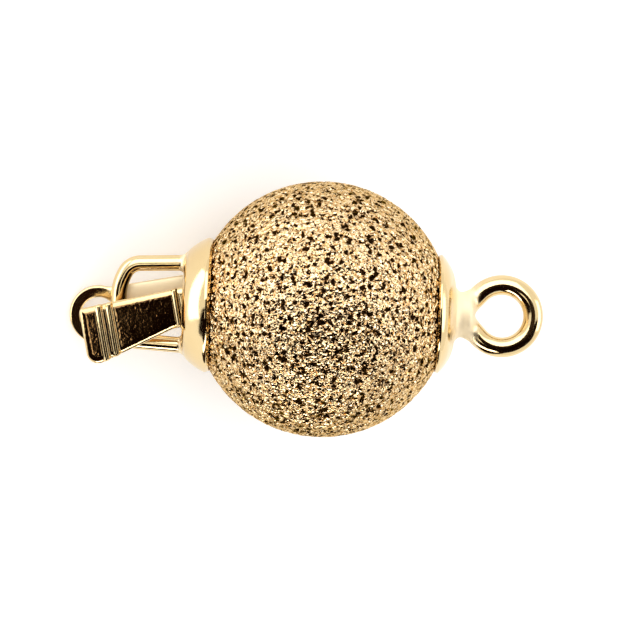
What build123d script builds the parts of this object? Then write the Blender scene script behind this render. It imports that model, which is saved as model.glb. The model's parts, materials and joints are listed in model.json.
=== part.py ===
from build123d import *
import os
from math import atan, cos, radians, sin, sqrt, tan

# Ball clasp for a bracelet or a necklace, in millimetres.
#
# A hollow ball carries a mouth collar on one side and a cap with a wire loop on the other.
# A folded tongue slides into the collar's slot. Its lower strip ends in an eyelet, and its
# upper leaf ends in a ribbed thumb tab, which is pressed down to free the tongue. A guard
# wire soldered to the collar runs between the strip and the leaf.
#
# Each piece is made in the clasp's own frame: the ball's centre is the origin, the wire loop
# lies towards +X, the tongue leaves towards -X, and the thumb tab is on the +Z side. Then the
# whole clasp is tipped to lie as it would on a table, on its ball and on the eyelet's edge.

# Ball
ball_diameter = 8.0
ball_wall = 0.30
mouth_hole_radius = 1.36
tail_hole_radius = 0.80
seam_gap = 0.03

# Collar at the mouth
collar_stand = 0.35
collar_face_radius = 1.56
collar_rim_radius = 2.13
collar_rim_lip = 0.17
collar_wall = 0.30
collar_bulge = 0.06
collar_edge_round = 0.16
collar_rim_round = 0.05

# Guard wire, soldered to the collar's front face
guard_wire_diameter = 0.50
guard_reach = 2.26
guard_corner_back = 0.31
guard_leg_taper = 0.09
guard_nose_width = 1.10
guard_corner_round = 0.55
guard_nose_round = 1.50

# Cap and wire loop at the other end
cap_rim_radius = 1.88
cap_rim_lip = 0.13
cap_shoulder_radius = 1.45
cap_shoulder_stand = 0.10
cap_shoulder_round = 0.35
cap_stand = 0.17
neck_radius = 0.69
neck_length = 0.53
neck_foot_round = 0.12
neck_end_round = 0.15
loop_wire_diameter = 0.63
loop_outer_diameter = 2.58
loop_centre_stand = 1.63
loop_spread_angle = 47.0

# Tongue: the strip with the eyelet, and the fold at its inner end
strip_thickness = 0.28
strip_width = 1.62
tongue_reach = 5.60
nose_width = 1.30
nose_taper_length = 0.90
guard_clearance = 0.04
eyelet_centre_out = 2.70
eyelet_flare = 0.12
eyelet_neck_round = 0.60
eyelet_hole_radius = 0.55
eyelet_bend_before = 0.55
eyelet_drop_angle = 6.0

# Thumb leaf
leaf_gap = 0.03
leaf_rise_angle = 3.5
leaf_width = 1.62
leaf_shoulder_in = 1.30
leaf_shoulder_length = 0.20
tab_root_out = 0.10
tab_root_width = 1.15
tab_tip_width = 1.91
tab_length = 3.05
tab_lean_angle = 9.0
tab_extra_rise_angle = 3.0
tab_corner_round = 0.12
tab_low_corner_round = 0.50

# Ribs across the thumb tab
rib_radius = 0.10
rib_height = 0.06
tip_rib_in = 0.62
tip_rib_pitch = 0.32
tip_rib_count = 2
root_rib_in = 0.04

# How the tongue sits in the slot, and how the clasp lies
slot_clearance = 0.10
tongue_side_shift = 0.04
tongue_yaw_angle = 11.5
loop_roll_angle = -8.0
rest_roll_angle = 0.0
steepest_rest_tilt = 60.0
tilt_halvings = 30

# Worked out from the sizes above
ball_radius = ball_diameter / 2
face_x = -(ball_radius + collar_stand)
wire_radius = guard_wire_diameter / 2
inner_half_gap = wire_radius + guard_clearance
fold_outer_radius = inner_half_gap + strip_thickness
fold_out = -(tongue_reach - fold_outer_radius)
eyelet_radius = strip_width / 2 + eyelet_flare
neck_end_x = ball_radius + cap_stand + neck_length
loop_centre_x = ball_radius + loop_centre_stand
loop_wire_radius = loop_wire_diameter / 2
loop_path_radius = loop_outer_diameter / 2 - loop_wire_radius
guard_straight = guard_reach - guard_wire_diameter - guard_corner_round
pull_length = tongue_reach - strip_thickness + guard_straight
far = 3 * ball_diameter


def tongue_point(out, side, height):
    """A point beside the collar's slot: how far out of the face, to which side, how high."""
    return Vector(face_x - out, side, height)


def block(corner_a, corner_b):
    """A box between two opposite corners."""
    size = corner_b - corner_a
    middle = (corner_a + corner_b) * 0.5
    return Pos(middle) * Box(abs(size.X), abs(size.Y), abs(size.Z))


def turned(profile):
    """The round solid that a profile above the X axis sweeps."""
    return revolve(profile, axis=Axis.X, revolution_arc=360)


def wire_along(path, radius):
    """A round wire that follows a path."""
    start = Plane(origin=path @ 0, z_dir=path % 0)
    return sweep(start * Circle(radius), path=path)


def corner_at(profile, x, y):
    """The profile's corner nearest to a place."""
    return profile.vertices().sort_by_distance((x, y, 0))[0]


def bent_band(underside, thickness):
    """A strip's side view: its underside as points (out, height), thickened upwards."""
    points = [Vector(out, height) for out, height in underside]
    normals = [(b - a).normalized().rotate(Axis.Z, 90) for a, b in zip(points, points[1:])]
    before = [normals[0]] + normals
    after = normals + [normals[-1]]
    upper = [p + (m + n) * (thickness / (1 + m.dot(n))) for p, m, n in zip(points, before, after)]
    outline = [(face_x - p.X, 0, p.Y) for p in points + upper[::-1]]
    return make_face(Polyline(*outline, close=True))


def made_of(side_view, plan):
    """The strip that has this side view and this plan."""
    broad = extrude(side_view, amount=strip_width, both=True)
    tall = extrude(plan, amount=ball_radius, both=True)
    return broad & tall


def slanted_plan(half_widths):
    """A plan outline from pairs of (out, half width), the same on both sides."""
    one_side = [(face_x - out, half) for out, half in half_widths]
    other_side = [(x, -half) for x, half in reversed(one_side)]
    return make_face(Polyline(*one_side, *other_side, close=True))


def on_skin(radius, side, hole_radius):
    """Where a round hole's edge lies on a ball's skin, on the mouth's or the tail's side."""
    return side * sqrt(radius ** 2 - hole_radius ** 2), hole_radius


def ball_shell():
    """The hollow ball with its two round openings, turned about the clasp's own line."""
    inner_radius = ball_radius - ball_wall
    mouth_out = on_skin(ball_radius, -1, mouth_hole_radius)
    tail_out = on_skin(ball_radius, 1, tail_hole_radius)
    tail_in = on_skin(inner_radius, 1, tail_hole_radius)
    mouth_in = on_skin(inner_radius, -1, mouth_hole_radius)
    outline = [
        ThreePointArc(mouth_out, (0, ball_radius), tail_out),
        Line(tail_out, tail_in),
        ThreePointArc(tail_in, (0, inner_radius), mouth_in),
        Line(mouth_in, mouth_out),
    ]
    return turned(make_face(outline))


def collar_cone():
    """The collar's body, hollow behind its front face, seated on the ball's skin."""
    rim_x = -sqrt((ball_radius + collar_rim_lip) ** 2 - collar_rim_radius ** 2)
    face_edge = Vector(face_x, collar_face_radius)
    rim = Vector(rim_x, collar_rim_radius)
    foot = rim * ((ball_radius - ball_wall) / (ball_radius + collar_rim_lip))
    bulge = (rim - face_edge).normalized().rotate(Axis.Z, 90) * collar_bulge
    outline = [
        Line((face_x, 0), face_edge),
        ThreePointArc(face_edge, (face_edge + rim) * 0.5 + bulge, rim),
        Polyline(rim, foot, (foot.X, 0), (face_x, 0)),
    ]
    profile = make_face(outline)
    profile = fillet(corner_at(profile, face_x, collar_face_radius), collar_edge_round)
    profile = fillet(corner_at(profile, rim.X, rim.Y), collar_rim_round)
    inner_x = face_x + collar_wall
    hollow_foot = foot.X + ball_wall
    hollow = make_face(Polyline(
        (inner_x, 0), (inner_x, mouth_hole_radius),
        (foot.X, collar_rim_radius - collar_wall), (hollow_foot, collar_rim_radius - collar_wall),
        (hollow_foot, 0), close=True,
    ))
    return turned(profile) - turned(hollow) - Sphere(ball_radius + seam_gap)


def slot_room(width, low, high):
    """The cut through the front face that a strip of this width and height slides through."""
    slant = radians(tongue_yaw_angle)
    half = (width / cos(slant) + collar_wall * tan(slant)) / 2 + slot_clearance
    outer = tongue_point(slot_clearance, -half, low - slot_clearance)
    inner = tongue_point(-collar_wall - slot_clearance, half, high + slot_clearance)
    return block(outer, inner)


def leaf_top(out):
    """The height of the thumb leaf's top where it is this far out of the face."""
    return fold_outer_radius + (out - fold_out) * tan(radians(leaf_rise_angle))


def guard_wire():
    """The U-shaped wire that stands in front of the slot."""
    leg_side = collar_face_radius - wire_radius
    nose_out = guard_reach - wire_radius
    corner_side = leg_side - guard_leg_taper
    one_side = [
        tongue_point(-collar_wall / 2, leg_side, 0),
        tongue_point(nose_out - guard_corner_back, corner_side, 0),
        tongue_point(nose_out, guard_nose_width / 2, 0),
    ]
    other_side = [Vector(p.X, -p.Y, 0) for p in reversed(one_side)]
    bends = [guard_corner_round, guard_nose_round, guard_nose_round, guard_corner_round]
    path = FilletPolyline(*one_side, *other_side, radius=bends)
    return wire_along(path, wire_radius)


def mouth_collar():
    """The collar with its stepped slot, and the guard wire soldered to it."""
    collar = collar_cone()
    collar -= slot_room(strip_width, -fold_outer_radius, 0)
    collar -= slot_room(leaf_width, 0, leaf_top(-leaf_shoulder_in))
    collar -= slot_room(tab_root_width, 0, leaf_top(0))
    return collar + guard_wire()


def end_loop():
    """The cap on the ball, its neck, and the wire loop soldered to the neck."""
    rim = Vector(sqrt((ball_radius + cap_rim_lip) ** 2 - cap_rim_radius ** 2), cap_rim_radius)
    foot = rim * ((ball_radius - ball_wall) / (ball_radius + cap_rim_lip))
    shoulder = Vector(ball_radius + cap_shoulder_stand, cap_shoulder_radius)
    neck_foot = Vector(ball_radius + cap_stand, neck_radius)
    neck_end = Vector(neck_end_x, neck_radius)
    profile = make_face(Polyline(
        rim, shoulder, neck_foot, neck_end, (neck_end.X, 0), (foot.X, 0), foot, close=True,
    ))
    for corner, bend in (
        (shoulder, cap_shoulder_round), (neck_foot, neck_foot_round), (neck_end, neck_end_round),
    ):
        profile = fillet(corner_at(profile, corner.X, corner.Y), bend)
    spread = radians(loop_spread_angle)
    apex = Vector(loop_centre_x - loop_path_radius / sin(spread), 0)
    touch_x = loop_centre_x - loop_path_radius * sin(spread)
    touch_y = loop_path_radius * cos(spread)
    tail_end = (touch_x, -touch_y)
    bend = ThreePointArc((touch_x, touch_y), (loop_centre_x + loop_path_radius, 0), tail_end)
    loop = wire_along(bend, loop_wire_radius)
    for side in (touch_y, -touch_y):
        loop += wire_along(Line(apex, (touch_x, side)), loop_wire_radius)
    soldered = turned(profile) + Rot(loop_roll_angle, 0, 0) * loop
    return soldered - Sphere(ball_radius + seam_gap)


def eyelet_plane():
    """The plane of the eyelet's underside at its centre, with its normal towards the tab."""
    bend_out = eyelet_centre_out - eyelet_radius + eyelet_bend_before
    drop = radians(eyelet_drop_angle)
    beyond = eyelet_centre_out - bend_out
    centre = tongue_point(bend_out + beyond * cos(drop), 0, -fold_outer_radius - beyond * sin(drop))
    return Plane(origin=centre, x_dir=(-cos(drop), 0, -sin(drop)), z_dir=(-sin(drop), 0, cos(drop)))


def eyelet_outline():
    """The outline, flat in the eyelet's plane, of the strip and the round eyelet that ends it."""
    half = strip_width / 2
    outline = Pos(-far / 2, 0) * Rectangle(far, strip_width) + Circle(eyelet_radius)
    neck = sqrt(eyelet_radius ** 2 - half ** 2)
    for side in (half, -half):
        outline = fillet(corner_at(outline, -neck, side), eyelet_neck_round)
    return outline - Circle(eyelet_hole_radius)


def tongue_strip():
    """The lower strip, from the fold inside the ball out to the eyelet."""
    bend_out = eyelet_centre_out - eyelet_radius + eyelet_bend_before
    drop = radians(eyelet_drop_angle)
    beyond = eyelet_centre_out + strip_width - bend_out
    tip = (bend_out + beyond * cos(drop), -fold_outer_radius - beyond * sin(drop))
    side_view = bent_band(
        [(fold_out, -fold_outer_radius), (bend_out, -fold_outer_radius), tip], strip_thickness,
    )
    taper_end = fold_out + nose_taper_length
    plan = slanted_plan([
        (fold_out, nose_width / 2), (taper_end, strip_width / 2),
        (taper_end, strip_width), (tip[0] + strip_width, strip_width),
    ])
    strip = made_of(side_view, plan) & extrude(eyelet_plane() * eyelet_outline(), amount=far, both=True)
    bend = Rot(90, 0, 0) * (
        Cylinder(fold_outer_radius, nose_width) - Cylinder(inner_half_gap, nose_width)
    )
    inner_half = block(Vector(0, -far, -far), Vector(far, far, far))
    return strip + Pos(tongue_point(fold_out, 0, 0)) * (bend & inner_half)


def tab_plan():
    """The thumb tab's plan: its tip is square to the leaf, and it leans to one side."""
    root, tip = tab_root_width / 2, tab_tip_width / 2
    tip_out = tab_root_out + tab_length
    lean = tab_length * tan(radians(tab_lean_angle))
    high, low = tongue_point(tip_out, tip - lean, 0), tongue_point(tip_out, -tip - lean, 0)
    plan = make_face(Polyline(
        tongue_point(tab_root_out, root, 0), high, low, tongue_point(tab_root_out, -root, 0), close=True,
    ))
    plan = fillet(corner_at(plan, high.X, high.Y), tab_corner_round)
    return fillet(corner_at(plan, low.X, low.Y), tab_low_corner_round)


def leaf_underside():
    """The leaf's underside, from the fold to the tab's tip, as points (out, height)."""
    rise = tan(radians(leaf_rise_angle))
    tab_rise = tan(radians(leaf_rise_angle + tab_extra_rise_angle))
    root_height = inner_half_gap + (tab_root_out - fold_out) * rise
    tip_out = tab_root_out + tab_length + leaf_width
    return [
        (fold_out + leaf_gap, inner_half_gap),
        (tab_root_out, root_height),
        (tip_out, root_height + (tip_out - tab_root_out) * tab_rise),
    ]


def tab_ribs():
    """The ribs across the tab's top: some near its tip, one at its root."""
    root, tip = leaf_underside()[1:]
    rise = atan((tip[1] - root[1]) / (tip[0] - root[0]))
    near_tip = [tab_length - tip_rib_in - tip_rib_pitch * i for i in range(tip_rib_count)]
    sunk = strip_thickness - rib_radius + rib_height
    rib = Rot(90, 0, 0) * Cylinder(rib_radius, 2 * tab_tip_width)
    ribs = Part()
    for along in near_tip + [root_rib_in]:
        out = tab_root_out + along - sunk * sin(rise)
        height = root[1] + along * tan(rise) + sunk * cos(rise)
        ribs += Pos(tongue_point(out, 0, height)) * rib
    return ribs & extrude(tab_plan(), amount=ball_radius, both=True)


def thumb_leaf():
    """The upper leaf, from the fold through the slot to the ribbed thumb tab."""
    neck = tab_root_width / 2
    wide = leaf_width / 2
    neck_in = -leaf_shoulder_in + leaf_shoulder_length
    plan = slanted_plan([
        (fold_out + leaf_gap, nose_width / 2), (fold_out + nose_taper_length, wide),
        (-leaf_shoulder_in, wide), (neck_in, neck), (tab_root_out * 2, neck),
    ])
    side_view = bent_band(leaf_underside(), strip_thickness)
    return made_of(side_view, plan) + made_of(side_view, tab_plan()) + tab_ribs()


def in_slot(placed):
    """Something of the tongue, turned in the slot as the tongue lies there."""
    return Pos(face_x, tongue_side_shift, 0) * Rot(0, 0, tongue_yaw_angle) * Pos(-face_x, 0, 0) * placed


def tipped(tilt):
    """The clasp rolled about its own axis, then tipped with its tongue down."""
    return Rot(0, -tilt, 0) * Rot(rest_roll_angle, 0, 0)


def eyelet_low(tilt):
    """The lowest level that the eyelet's round edge reaches at a tilt, from the ball's centre."""
    eyelet = Plane(tipped(tilt) * in_slot(eyelet_plane().location))
    return eyelet.origin.Z - eyelet_radius * sqrt(1 - eyelet.z_dir.Z ** 2)


def rest_tilt():
    """The tilt at which the eyelet's edge is as low as the ball, found by halving."""
    low, high = 0.0, steepest_rest_tilt
    for _ in range(tilt_halvings):
        middle = (low + high) / 2
        if eyelet_low(middle) > -ball_radius:
            low = middle
        else:
            high = middle
    return low


nodes = {
    "ball_shell": ball_shell(),
    "mouth_collar": mouth_collar(),
    "end_loop": end_loop(),
    "tongue_strip": in_slot(tongue_strip()),
    "thumb_leaf": in_slot(thumb_leaf()),
}
tilt = rest_tilt()
tipped_nodes = {name: tipped(tilt) * shape for name, shape in nodes.items()}
boxes = [shape.bounding_box() for shape in tipped_nodes.values()]
middle_x = (min(box.min.X for box in boxes) + max(box.max.X for box in boxes)) / 2
middle_y = (min(box.min.Y for box in boxes) + max(box.max.Y for box in boxes)) / 2
to_base = Pos(-middle_x, -middle_y, ball_radius)

os.makedirs("parts", exist_ok=True)
for name, shape in tipped_nodes.items():
    export_step(to_base * shape, f"parts/{name}.step")


def report(name, plane):
    """Print where a mount or a joint lies, and which way it points."""
    placed = Plane(to_base * tipped(tilt) * plane.location)
    print(name, [round(v, 4) for v in placed.origin], [round(v, 6) for v in placed.z_dir])


print("tilt", round(tilt, 3), "pull length", round(pull_length, 3))
eyelet_middle = eyelet_plane().offset(strip_thickness / 2)
report("eyelet", Plane(in_slot(eyelet_middle.location)))
report("loop", Plane(Rot(loop_roll_angle, 0, 0) * Location((loop_centre_x, 0, 0))))
pull_way = Plane(origin=tongue_point(0, 0, 0), z_dir=(-1, 0, 0))
report("pull", Plane(in_slot(pull_way.location)))
press_way = Plane(
    origin=tongue_point(fold_out + leaf_gap / 2, 0, inner_half_gap + strip_thickness / 2),
    z_dir=(0, -1, 0),
)
report("press", Plane(in_slot(press_way.location)))
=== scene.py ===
"""A gold ball clasp for a bracelet or a necklace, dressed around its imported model."""
import json
import logging
from dataclasses import dataclass
from enum import Enum
from math import acos, asin, atan2, cos, hypot, pi, radians, sin, sqrt, tan
from typing import Callable

import bmesh
import bpy
import numpy as np
from mathutils import Matrix, Vector
from mathutils.kdtree import KDTree


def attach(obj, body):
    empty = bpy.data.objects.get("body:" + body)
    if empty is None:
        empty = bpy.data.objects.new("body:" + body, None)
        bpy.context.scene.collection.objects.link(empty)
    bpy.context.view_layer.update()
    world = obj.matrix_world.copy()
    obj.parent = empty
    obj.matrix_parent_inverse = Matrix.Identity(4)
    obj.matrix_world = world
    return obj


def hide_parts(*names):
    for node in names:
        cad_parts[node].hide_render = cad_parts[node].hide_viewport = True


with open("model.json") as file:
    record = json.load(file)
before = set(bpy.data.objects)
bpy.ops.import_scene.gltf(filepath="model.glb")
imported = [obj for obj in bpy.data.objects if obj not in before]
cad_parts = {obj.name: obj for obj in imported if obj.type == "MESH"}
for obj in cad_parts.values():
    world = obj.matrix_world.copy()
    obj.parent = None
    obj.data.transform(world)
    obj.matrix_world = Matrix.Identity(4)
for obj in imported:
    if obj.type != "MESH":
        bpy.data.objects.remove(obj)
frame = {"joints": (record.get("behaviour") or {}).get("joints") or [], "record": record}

log = logging.getLogger("ball_clasp")

Distance = Callable[[np.ndarray], np.ndarray]

MM = 0.001
SEED = 20

# Meshes: the rounds that bring corners onto a skin, the steps that slopes are measured over as shares of a
# quad, and the decimals to which corners that meet agree.
SETTLING_ROUNDS = 4
SLOPE_STEP = 0.1
NORMAL_STEP = 0.2
WELD_DIGITS = 6

# Gold: the noise values that its tones and its polish run between, how polishing marks are drawn out along
# the clasp, and how deep the painted shade in its pits and how soft its painted dark speckles are.
DRIFT_RANGE = (0.38, 0.66)
POLISH_RANGE = (0.35, 0.7)
MIDDLE_NOISE = 0.5
MARK_STRETCH = (1.0, 5.0, 5.0)
PAINTED_PIT_SHADE_POWER = 1.6
PAINTED_SPECK_SOFTNESS = 0.09


class Body(Enum):
    """The bodies that pieces ride on."""

    BALL = "ball_half"
    TONGUE = "tongue"
    LEAF = "leaf"


class Slot(Enum):
    """The record's material slots."""

    TEXTURED = "textured_gold"
    POLISHED = "polished_gold"


class Mask(Enum):
    """Masks baked on the polished pieces."""

    DULL = "dull"
    WORN = "worn"


def rounded_edge(a: np.ndarray, b: np.ndarray, radius: float) -> np.ndarray:
    """Distance to what two bodies share, with a round edge where their faces cross.

    Args:
        a: Distances to the first body's skin, negative inside it.
        b: Distances to the second body's skin.
        radius: The round's radius.

    Returns:
        Distances to the shared body's skin.
    """
    near_a, near_b = a + radius, b + radius
    outside = np.hypot(np.maximum(near_a, 0), np.maximum(near_b, 0))
    return np.minimum(np.maximum(near_a, near_b), 0) + outside - radius


def soldered(a: np.ndarray, b: np.ndarray, radius: float) -> np.ndarray:
    """Distance to two bodies joined by a fillet of solder.

    Args:
        a: Distances to the first body's skin, negative inside it.
        b: Distances to the second body's skin.
        radius: The fillet's radius.

    Returns:
        Distances to the joined body's skin.
    """
    return -rounded_edge(-a, -b, radius)


@dataclass(frozen=True)
class Run:
    """A straight stretch of a flat path."""

    start: tuple[float, float]
    end: tuple[float, float]

    def distance(self, u: np.ndarray, v: np.ndarray) -> np.ndarray:
        """Distances from points to the stretch.

        Args:
            u: The points' first coordinates.
            v: The points' second coordinates.

        Returns:
            Distances, one to a point.
        """
        along_u, along_v = self.end[0] - self.start[0], self.end[1] - self.start[1]
        from_u, from_v = u - self.start[0], v - self.start[1]
        share = np.clip((from_u * along_u + from_v * along_v) / (along_u ** 2 + along_v ** 2), 0, 1)
        return np.hypot(from_u - along_u * share, from_v - along_v * share)


@dataclass(frozen=True)
class Bend:
    """A round stretch of a flat path, to both sides of one direction from its centre."""

    centre: tuple[float, float]
    radius: float
    towards: tuple[float, float]
    half_angle: float

    def distance(self, u: np.ndarray, v: np.ndarray) -> np.ndarray:
        """Distances from points to the stretch, endless beside it.

        Args:
            u: The points' first coordinates.
            v: The points' second coordinates.

        Returns:
            Distances, one to a point.
        """
        from_u, from_v = u - self.centre[0], v - self.centre[1]
        length = np.hypot(from_u, from_v)
        beside = from_u * self.towards[0] + from_v * self.towards[1] < length * cos(self.half_angle)
        return np.where(beside, np.inf, np.abs(length - self.radius))


def rounded_path(corners: list[tuple[float, float]], radii: list[float]) -> list[Run | Bend]:
    """A flat path through corners, each inner corner rounded.

    Args:
        corners: The path's corners in order.
        radii: A radius for each inner corner.

    Returns:
        The path's straight and round stretches.
    """
    stretches: list[Run | Bend] = []
    start = Vector(corners[0])
    for before, corner, after, radius in zip(corners, corners[1:], corners[2:], radii):
        place = Vector(corner)
        back = (Vector(before) - place).normalized()
        onward = (Vector(after) - place).normalized()
        half = acos(max(-1, min(1, back.dot(onward)))) / 2
        inward = (back + onward).normalized()
        stretches.append(Run(tuple(start), tuple(place + back * (radius / tan(half)))))
        centre = place + inward * (radius / sin(half))
        stretches.append(Bend(tuple(centre), radius, tuple(-inward), pi / 2 - half))
        start = place + onward * (radius / tan(half))
    stretches.append(Run(tuple(start), corners[-1]))
    return stretches


def path_distance(stretches: list[Run | Bend], u: np.ndarray, v: np.ndarray) -> np.ndarray:
    """Distances from points to a flat path."""
    return np.min([stretch.distance(u, v) for stretch in stretches], axis=0)


def outline_distance(corners: list[tuple[float, float]], u: np.ndarray, v: np.ndarray) -> np.ndarray:
    """Distances from points to a closed outline of straight sides.

    Args:
        corners: The outline's corners in order.
        u: The points' first coordinates.
        v: The points' second coordinates.

    Returns:
        Distances, negative inside the outline.
    """
    nearest = np.full(u.shape, np.inf)
    inside = np.zeros(u.shape, bool)
    for start, end in zip(corners, corners[1:] + corners[:1]):
        nearest = np.minimum(nearest, Run(start, end).distance(u, v))
        if start[1] != end[1]:
            crossing = start[0] + (end[0] - start[0]) * (v - start[1]) / (end[1] - start[1])
            inside ^= ((start[1] > v) != (end[1] > v)) & (u < crossing)
    return np.where(inside, -nearest, nearest)


def slope_of(distance: Distance, points: np.ndarray, step: float) -> np.ndarray:
    """How fast a distance grows along each axis at some points.

    Args:
        distance: The distance to a body's skin.
        points: The points, one to a row.
        step: How far to either side it is measured.

    Returns:
        The slopes, one row to a point.
    """
    slopes = np.empty_like(points)
    for axis, shift in enumerate(np.eye(3) * step):
        slopes[:, axis] = distance(points + shift) - distance(points - shift)
    return slopes / (2 * step)


def skin_mesh(name: str, distance: Distance, low: Vector, high: Vector, pitch: float) -> bpy.types.Mesh:
    """A mesh of small even quads on a body's skin, with the skin's own normals.

    Args:
        name: The mesh's name.
        distance: The distance to the skin, negative inside the body.
        low: The lowest corner of the room searched, in millimetres.
        high: The highest corner of that room.
        pitch: The quads' size.

    Returns:
        The mesh, in the same frame as the distance.
    """
    axes = [np.arange(a - pitch, b + 2 * pitch, pitch) for a, b in zip(low, high)]
    grid = np.stack(np.meshgrid(*axes, indexing="ij"), axis=-1)
    value = distance(grid.reshape(-1, 3)).reshape(grid.shape[:3])
    inside = value < 0
    corners = [(i, j, k) for i in (0, 1) for j in (0, 1) for k in (0, 1)]
    shape = tuple(n - 1 for n in value.shape)

    def at(array: np.ndarray, corner: tuple[int, int, int]) -> np.ndarray:
        """One corner of every cell."""
        return array[tuple(slice(c, c + n) for c, n in zip(corner, shape))]

    count = sum(at(inside, corner).astype(np.int8) for corner in corners)
    crossed = (count > 0) & (count < len(corners))
    number = np.full(shape, -1)
    number[crossed] = np.arange(crossed.sum())

    total = np.zeros((crossed.sum(), 3))
    hits = np.zeros((crossed.sum(), 1))
    for near in corners:
        for axis in range(3):
            if near[axis]:
                continue
            far = tuple(1 if n == axis else c for n, c in enumerate(near))
            value_near, value_far = at(value, near)[crossed], at(value, far)[crossed]
            hit = ((value_near < 0) != (value_far < 0))[:, None]
            share = np.where(hit, (value_near / (value_near - value_far + 1e-12))[:, None], 0)
            point_near, point_far = at(grid, near)[crossed], at(grid, far)[crossed]
            total += hit * (point_near + share * (point_far - point_near))
            hits += hit
    points = total / hits

    quads = []
    for axis in range(3):
        b, c = (axis + 1) % 3, (axis + 2) % 3
        here = [slice(1, -1)] * 3
        here[axis] = slice(0, -1)
        there = list(here)
        there[axis] = slice(1, None)
        leaving = inside[tuple(here)] & ~inside[tuple(there)]
        entering = ~inside[tuple(here)] & inside[tuple(there)]
        for crossing, turn in ((leaving, 1), (entering, -1)):
            place = np.argwhere(crossing) + [0 if n == axis else 1 for n in range(3)]
            ring = []
            for shift_b, shift_c in ((-1, -1), (0, -1), (0, 0), (-1, 0))[::turn]:
                cell = place.copy()
                cell[:, b] += shift_b
                cell[:, c] += shift_c
                ring.append(number[tuple(cell.T)])
            quads.append(np.stack(ring, axis=1))
    quads = np.concatenate(quads)

    for _ in range(SETTLING_ROUNDS):
        slopes = slope_of(distance, points, pitch * SLOPE_STEP)
        size = (slopes ** 2).sum(axis=1, keepdims=True) + 1e-9
        move = -slopes * distance(points)[:, None] / size
        points += np.clip(move, -pitch / 2, pitch / 2)
    normals = slope_of(distance, points, pitch * NORMAL_STEP)
    normals /= np.linalg.norm(normals, axis=1, keepdims=True) + 1e-12

    mesh = bpy.data.meshes.new(name)
    mesh.from_pydata(points, [], quads.tolist())
    mesh.shade_smooth()
    mesh.normals_split_custom_set_from_vertices(normals)
    return mesh


@dataclass(frozen=True)
class ClaspFrame:
    """Where the clasp's own frame lies: the ball's centre, and the way the clasp is tipped."""

    ball_centre: Vector
    tilt: float
    yaw: float
    slot_place: Vector

    @classmethod
    def from_frame(cls, face_x: float, side_shift: float, loop_centre_x: float) -> "ClaspFrame":
        """Reads the clasp's place from the frame.

        Args:
            face_x: The collar's front face along the clasp, in millimetres.
            side_shift: How far the tongue lies beside the slot's middle.
            loop_centre_x: The wire loop's centre along the clasp.

        Returns:
            The clasp's own frame.
        """
        pull = next(j for j in frame["joints"] if j["name"] == "tongue_pull")["axis"]
        ring = next(m for m in frame["record"]["mounts"] if m["name"] == "end_ring")["pos_m"]
        tilt = atan2(-pull[2], -pull[0])
        along = Vector((cos(tilt), 0, sin(tilt)))
        centre = Vector(ring) - along * loop_centre_x * MM
        return cls(centre, tilt, asin(-pull[1]), Vector((face_x, side_shift, 0)))

    def clasp(self) -> Matrix:
        """From the clasp's own millimetres to the row frame."""
        turned = Matrix.Rotation(-self.tilt, 4, "Y")
        return Matrix.Translation(self.ball_centre) @ turned @ Matrix.Scale(MM, 4)

    def tongue(self) -> Matrix:
        """From the tongue's own millimetres to the row frame.

        Returns:
            The change of frame.
        """
        turned = Matrix.Rotation(self.yaw, 4, "Z")
        face = Vector((self.slot_place.x, 0, 0))
        return self.clasp() @ Matrix.Translation(self.slot_place) @ turned @ Matrix.Translation(-face)


def node_group(name: str, inputs: dict[str, str], outputs: dict[str, str]) -> bpy.types.NodeTree:
    """An empty shader node group with named sockets.

    Args:
        name: The group's name.
        inputs: The input sockets' names and kinds.
        outputs: The output sockets' names and kinds.

    Returns:
        The group, with its input and output nodes in it.
    """
    group = bpy.data.node_groups.new(name, "ShaderNodeTree")
    for in_out, sockets in (("INPUT", inputs), ("OUTPUT", outputs)):
        for socket, kind in sockets.items():
            group.interface.new_socket(socket, in_out=in_out, socket_type=f"NodeSocket{kind}")
    group.nodes.new("NodeGroupInput")
    group.nodes.new("NodeGroupOutput")
    return group


def add(
    tree: bpy.types.NodeTree, kind: str, values: dict[str | int, object] | None = None, **settings: object,
) -> bpy.types.Node:
    """A new node in a tree.

    Args:
        tree: The node tree.
        kind: The node's type without its ShaderNode prefix.
        values: Input sockets by name, each a plain value or another node's output.
        settings: The node's own settings.

    Returns:
        The node.
    """
    node = tree.nodes.new(f"ShaderNode{kind}")
    for setting, value in settings.items():
        setattr(node, setting, value)
    for socket, value in (values or {}).items():
        if isinstance(value, bpy.types.NodeSocket):
            tree.links.new(value, node.inputs[socket])
        else:
            node.inputs[socket].default_value = value
    return node


def maths(tree: bpy.types.NodeTree, operation: str, *values: object) -> bpy.types.NodeSocket:
    """Works out one value from others.

    Args:
        tree: The node tree.
        operation: What is done with the values.
        values: The values, each a plain one or another node's output.

    Returns:
        The result.
    """
    return add(tree, "Math", dict(enumerate(values)), operation=operation).outputs["Value"]


def mixed(tree: bpy.types.NodeTree, share: object, first: object, second: object) -> bpy.types.NodeSocket:
    """Mixes two colours.

    Args:
        tree: The node tree.
        share: The second colour's share, from nothing to one.
        first: The first colour, plain or another node's output.
        second: The second colour.

    Returns:
        The mixed colour.
    """
    values = {"Factor": share, "A": first, "B": second}
    return add(tree, "Mix", values, data_type="RGBA").outputs["Result"]


def fill(node: bpy.types.Node, values: dict[str, float | tuple[float, ...]]) -> None:
    """Sets a node's input sockets by name."""
    for socket, value in values.items():
        node.inputs[socket].default_value = value


def ends(group: bpy.types.NodeTree) -> tuple[bpy.types.Node, bpy.types.Node]:
    """A group's input and output nodes.

    Args:
        group: The node group.

    Returns:
        The two nodes.
    """
    given = next(n for n in group.nodes if n.bl_idname == "NodeGroupInput")
    made = next(n for n in group.nodes if n.bl_idname == "NodeGroupOutput")
    return given, made


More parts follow.
